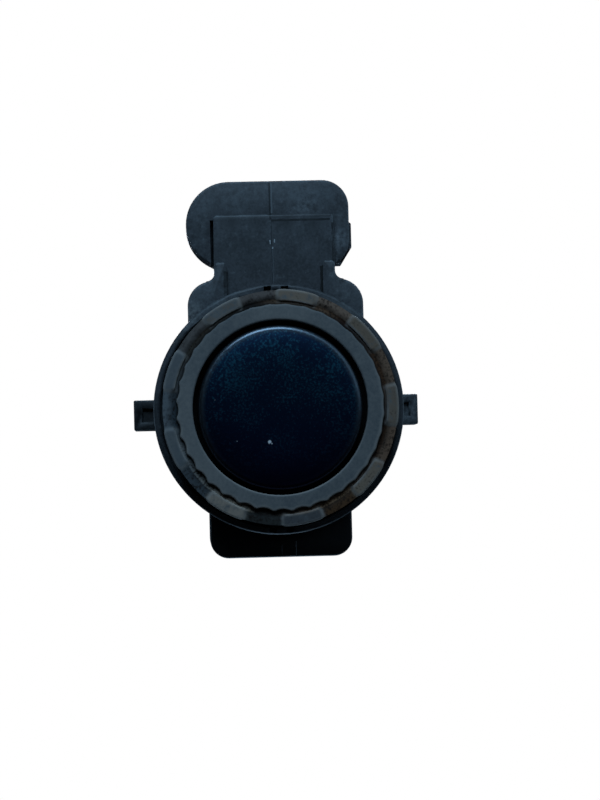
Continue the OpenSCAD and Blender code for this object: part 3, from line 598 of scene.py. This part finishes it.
def dusty_ring(material):
    """Decoupling ring with its pads raised and its flutes pressed in by angle, the dirt that lies on it, and
    painted light and shade on its walls, groove and gaps.
    """
    bm = spun_ring()
    rub, dirt_and_shade = bm.verts.layers.float.new("rub"), bm.verts.layers.float_color.new("dirt_and_shade")
    # Near-black painted shade for the ring's walls that lie in shadow beside the cup and the rim
    painted_gap_shade = tone("#0c0d0e")
    for vert in bm.verts:
        radius, depth, angle = math.hypot(vert.co.x, vert.co.z) / MM, vert.co.y / MM, clock_angle(vert.co)
        waver = noise.noise(vert.co * per_mm(1.3)) * 0.5 + noise.noise(vert.co * per_mm(0.5)) * 0.4
        worn, colour = 0.0, painted_gap_shade
        # Painted shade on the flange's wall behind the pads, deepest toward the rim
        cover = smooth(PAD_FOOT_Y + 0.2, 0.5, depth) if radius > PAD_IN_R else 0.0
        # Pads, then the fluted outside of the sleeve, then its inside
        if depth < PAD_FOOT_Y + NEAR and radius > PAD_IN_R - NEAR:
            radius, depth, worn, colour, cover = pad_band(angle, radius, depth, waver)
        elif depth < PAD_FOOT_Y and radius > FLUTE_FROM_R:
            worn = 0.8 * smooth(RUB_FROM_R, RUB_FULL_R, radius) * smooth(SLEEVE_Y + 0.18, SLEEVE_Y + 0.08, depth)
            worn *= (0.8 + 0.5 * waver) * smooth(40, 120, from_place(angle, TOP))
            radius -= flute_cut(angle) * open_flute(angle) * smooth(FLUTE_FROM_R, FLUTE_FULL_R, radius)
        elif radius < SLEEVE_IN_R + 0.1:
            # Painted shade on the sleeve's inner wall beside the cup
            cover = smooth(SLEEVE_Y + 0.12, SLEEVE_Y + 0.3, depth)
            worn = 0.6 * smooth(60, 160, from_place(angle, TOP)) * (1 - cover)
        # Dirt that fills the groove, with the painted light and shade of its table, paler toward the pads
        if GROOVE_IN_R < radius < GROOVE_OUT_R and DIRT_TOP_Y < depth < PAD_FOOT_Y:
            caked = smooth(18, 8, from_place(angle, CAKED_AT))
            amount = smooth(DIRT_TOP_Y - 0.02 * caked, DIRT_WHOLE_Y - 0.1 * caked, depth) * (1 + 0.5 * waver)
            if amount > cover:
                pale = 0.3 + 0.8 * smooth(SLEEVE_OUT_R - 0.1, PAD_IN_R, radius)
                colour, cover = groove_dirt_light_and_shade(angle) * pale, amount
        # Pale rub on the sleeve's face
        if depth < SLEEVE_Y + 0.1:
            worn = max(worn, 0.22 * smooth(70, 20, from_place(angle, RUBBED_AT)),
                       0.18 * smooth(30, 8, from_place(angle, TOP)))
        turn = math.radians(angle)
        vert.co = Vector((radius * math.sin(turn), depth, radius * math.cos(turn))) * MM
        vert[rub] = min(worn, 1.0)
        vert[dirt_and_shade] = (*colour, min(max(cover, 0.0), 1.0))
    return shown_piece(bm, "dusty_decoupling_ring", material, "silicone", "decoupling_ring")


# Lines in the housing's front, many of them painted shadow and highlight of creases and steps: left, right, low,
# high, colour
MARKS_AND_PAINTED_LIGHTING = [
    # Painted shadow of the barrel over the foot
    (-8.0, 8.0, -14.4, -9.0, "#1b1c1f"),
    # Parting line of the shroud, a shallow crease: its painted shade and its painted highlight
    (-0.3, -0.12, 18.6, 22.3, "#16181b"),
    (-0.12, 0.04, 19.3, 22.2, "#5d6266"),
    # Parting line of the neck, a shallow crease: its painted shade and its painted highlight
    (-0.16, -0.09, 12.4, 18.8, "#24262a"),
    (-0.08, -0.02, 12.4, 15.6, "#585d62"),
    # Painted shadow under the step at the top and at the right of the neck, and painted shade dimming its top edge
    (-0.1, 5.6, 18.42, 18.62, "#16181b"),
    (-0.1, 5.7, 18.78, 19.1, "#303236"),
    (5.72, 5.9, 14.4, 18.2, "#1d1f22"),
    # Painted shadow beside the two rails
    (4.5, 4.74, 11.0, 14.0, "#050506"),
    (-4.9, -4.5, 11.0, 13.6, "#050506"),
    # Pale nicks in the neck
    (-0.34, -0.24, 16.2, 16.6, "#a9aeb2"),
    (0.1, 0.2, 16.35, 16.7, "#a9aeb2"),
    (-0.1, 0.02, 15.75, 15.93, "#a9aeb2"),
    # Pale lines in the foot
    (1.43, 1.53, -14.0, -12.6, "#8b9094"),
    (0.08, 0.16, -13.9, -12.9, "#6b7074"),
]
# Scuffs and grime on the housing, and spots of painted light and shade: place, size, colour
SCUFFS_AND_PAINTED_LIGHTING = [
    # Rubs on the shroud's front
    ((3.15, 3.4, 19.9), 1.9, "#6a6f73"),
    ((2.2, 3.4, 21.4), 1.4, "#565b5f"),
    ((-6.5, 3.4, 20.2), 1.2, "#565b5f"),
    ((-3.7, 3.4, 20.3), 1.6, "#52575b"),
    ((6.3, 3.4, 16.6), 1.3, "#7c8185"),
    ((5.0, 3.4, 20.8), 1.5, "#52575b"),
    # Dust on the rim and the shoulders
    ((-5.9, 0, 10.2), 4.5, "#5d6468"),
    ((6.6, 0, 9.8), 3.4, "#5d6163"),
    ((-9.3, 2, 8.6), 3.2, "#8a8a88"),
    # Painted shade under the neck's step
    ((-4.2, 2.7, 18.5), 1.3, "#17191b"),
    ((-1.6, 2.7, 18.5), 1.3, "#17191b"),
    ((1.2, 2.7, 18.3), 1.2, "#1c1e20"),
    ((4.0, 2.7, 18.3), 1.2, "#1c1e20"),
    # Painted shade over the left lug, painted light on the right lug
    ((-13.2, 8.4, 0), 9.0, "#030304"),
    ((-13.2, 8.4, 0), 5.0, "#030304"),
    ((13.2, 8.4, 0), 4.0, "#62676a"),
]

# Pieces that are seen
worn_housing(moulded_plastic("moulded_black_pbt", "#313336", "#434549", "#6c7175", MARKS_AND_PAINTED_LIGHTING, SCUFFS_AND_PAINTED_LIGHTING))
worn_cover(moulded_plastic("welded_cover_pbt", "#2a2b2e", "#38393d", "#5a5e63"))
dusty_ring(dusty_silicone())
crowned_cup(painted_aluminium())

# Finishes of the inner pieces, and the pieces that share one
FINISHES = {
    # Dull silvery tan
    "piezo_disc": plain_finish("silvered_piezo_ceramic", "#a59d86", "#c9c4b4", 0.6, 0.45),
    # Soft pale grey, without any shine
    "damping_plug": plain_finish("soft_silicone_foam", "#8f8b84", "#a8a49c", 0.35, 0.85, bump_mm=0.05),
    # Plain black, satin
    "contact_carrier": plain_finish("black_carrier_polymer", "#1b1b1d", "#2a2a2d", 0.4, 0.55),
    # Pale grey metal, softly bright
    "carrier_pin_left": plain_finish("tinned_brass", "#a7a39b", "#c6c2b8", 0.5, 0.32, metallic=1.0),
    # Red-brown metal under a clear coat
    "piezo_lead": plain_finish("enamelled_copper_wire", "#8c4a26", "#b4693c", 0.25, 0.35, metallic=1.0),
    # Dark green with a slight shine
    "circuit_board": plain_finish("green_solder_mask", "#12402a", "#1c5a3a", 0.8, 0.4),
    # Charcoal grey, finely grained
    "transformer_core": plain_finish("sintered_ferrite", "#242426", "#38383b", 0.2, 0.62),
    # Near black, dull
    "driver_chip": plain_finish("chip_epoxy", "#121214", "#1e1e21", 0.25, 0.6),
    # Even light brown
    "bulk_capacitor": plain_finish("fired_capacitor_ceramic", "#7d6143", "#97795a", 0.4, 0.5),
}
SAME_AS = {
    "carrier_pin_right": "carrier_pin_left", "terminal_supply": "carrier_pin_left",
    "terminal_signal": "carrier_pin_left", "terminal_ground": "carrier_pin_left",
    "ground_lead": "piezo_lead", "transformer_winding": "piezo_lead", "transformer_base": "contact_carrier",
    "chip_capacitors": "bulk_capacitor", "chip_resistors": "driver_chip", "protection_diode": "driver_chip",
}
for node in nodes:
    finish = FINISHES.get(SAME_AS.get(node, node))
    if finish:
        nodes[node].data.materials.clear()
        nodes[node].data.materials.append(finish)


def toward(azimuth, elevation):
    """Direction out from the object, azimuth 0 straight in front and positive to the right."""
    a, e = math.radians(azimuth), math.radians(elevation)
    return Vector((math.sin(a) * math.cos(e), -math.cos(a) * math.cos(e), math.sin(e)))


def aimed(location, target, roll=0.0):
    """Placement at a location, looking at a target, turned by roll degrees about the line of sight."""
    turn = (target - location).to_track_quat("-Z", "Y").to_matrix().to_4x4()
    return Matrix.Translation(location) @ turn @ Matrix.Rotation(math.radians(roll), 4, "Z")


def photo_camera():
    """Camera at the photograph's place: it sees the sensor's axis at the photograph's pixel."""
    target = Vector((0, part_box("membrane_cup")[0].y, 0))
    data = bpy.data.cameras.new("photo_camera")
    data.sensor_fit = "VERTICAL"
    data.sensor_height = SENSOR_HEIGHT
    data.lens = SENSOR_HEIGHT * VIEW_DISTANCE / (FRAME_PX[1] * MM_PER_PX)
    data.shift_x = (FRAME_PX[0] / 2 - AXIS_PX[0]) / FRAME_PX[1]
    data.shift_y = (AXIS_PX[1] - FRAME_PX[1] / 2) / FRAME_PX[1]
    data.clip_start = NEAR_CLIP
    camera = bpy.data.objects.new("photo_camera", data)
    bpy.context.scene.collection.objects.link(camera)
    place = target + toward(VIEW_AZIMUTH, VIEW_ELEVATION) * VIEW_DISTANCE * MM
    camera.matrix_world = aimed(place, target, -VIEW_ROLL)
    bpy.context.scene.camera = camera


def soft_light(name, azimuth, elevation, distance, size, watts, colour):
    """Square studio light that looks at the sensor."""
    data = bpy.data.lights.new(name, "AREA")
    data.size = size * MM
    data.energy = watts
    data.color = srgb(colour)[:3]
    light = bpy.data.objects.new(name, data)
    bpy.context.scene.collection.objects.link(light)
    light.matrix_world = aimed(toward(azimuth, elevation) * distance * MM, Vector((0, 0, 0)))


# Floor: half its width in metres, and its distance under the part in millimetres
FLOOR_HALF = 3.0
FLOOR_GAP = 0.05
# Lights: name, azimuth, elevation, distance, size, watts, colour
LIGHTS = [
    ("key_light", -9, 50, 220, 120, 0.245, "#b3ddff"),
    ("side_light", 52, 30, 240, 220, 0.06, "#b3ddff"),
    ("sheet_glow", 180, -68, 200, 40, 0.12, "#b3ddff"),
    ("right_glow", 110, 0, 250, 200, 0.1, "#b3ddff"),
    ("left_glow", -110, 0, 250, 200, 0.1, "#b3ddff"),
    ("rear_light", 178, 22, 300, 160, 1.0, "#cfe6ff"),
]


def studio():
    """Shadowless white floor and surroundings, a key light from above, and weak lights behind."""
    bm = bmesh.new()
    bmesh.ops.create_grid(bm, x_segments=1, y_segments=1, size=FLOOR_HALF,
                          matrix=Matrix.Translation((0, 0, cad_box[0].z - FLOOR_GAP * MM)))
    mesh = bpy.data.meshes.new("white_floor")
    bm.to_mesh(mesh)
    bm.free()
    floor = bpy.data.objects.new("white_floor", mesh)
    bpy.context.scene.collection.objects.link(floor)
    paper = bpy.data.materials.new("lit_white_paper")
    paper.use_nodes = True
    paper.node_tree.nodes.clear()
    glow = add(paper.node_tree, "Emission", {"Color": (1, 1, 1, 1), "Strength": 1.0})
    add(paper.node_tree, "OutputMaterial", {"Surface": glow})
    mesh.materials.append(paper)
    for kind in ("diffuse", "glossy", "transmission", "shadow"):
        setattr(floor, "visible_" + kind, False)
    world = bpy.data.worlds.new("white_surroundings")
    world.use_nodes = True
    tree = world.node_tree
    tree.nodes.clear()
    seen = add(tree, "LightPath", {}, "Is Camera Ray")
    dim = add(tree, "Background", {"Color": srgb("#c8d8e6"), "Strength": 0.008})
    white = add(tree, "Background", {"Color": (1, 1, 1, 1), "Strength": 1.0})
    add(tree, "OutputWorld", {"Surface": add(tree, "MixShader", {0: seen, 1: dim, 2: white})})
    bpy.context.scene.world = world
    for light in LIGHTS:
        soft_light(*light)
    bpy.context.scene.view_settings.view_transform = "Standard"


photo_camera()
studio()
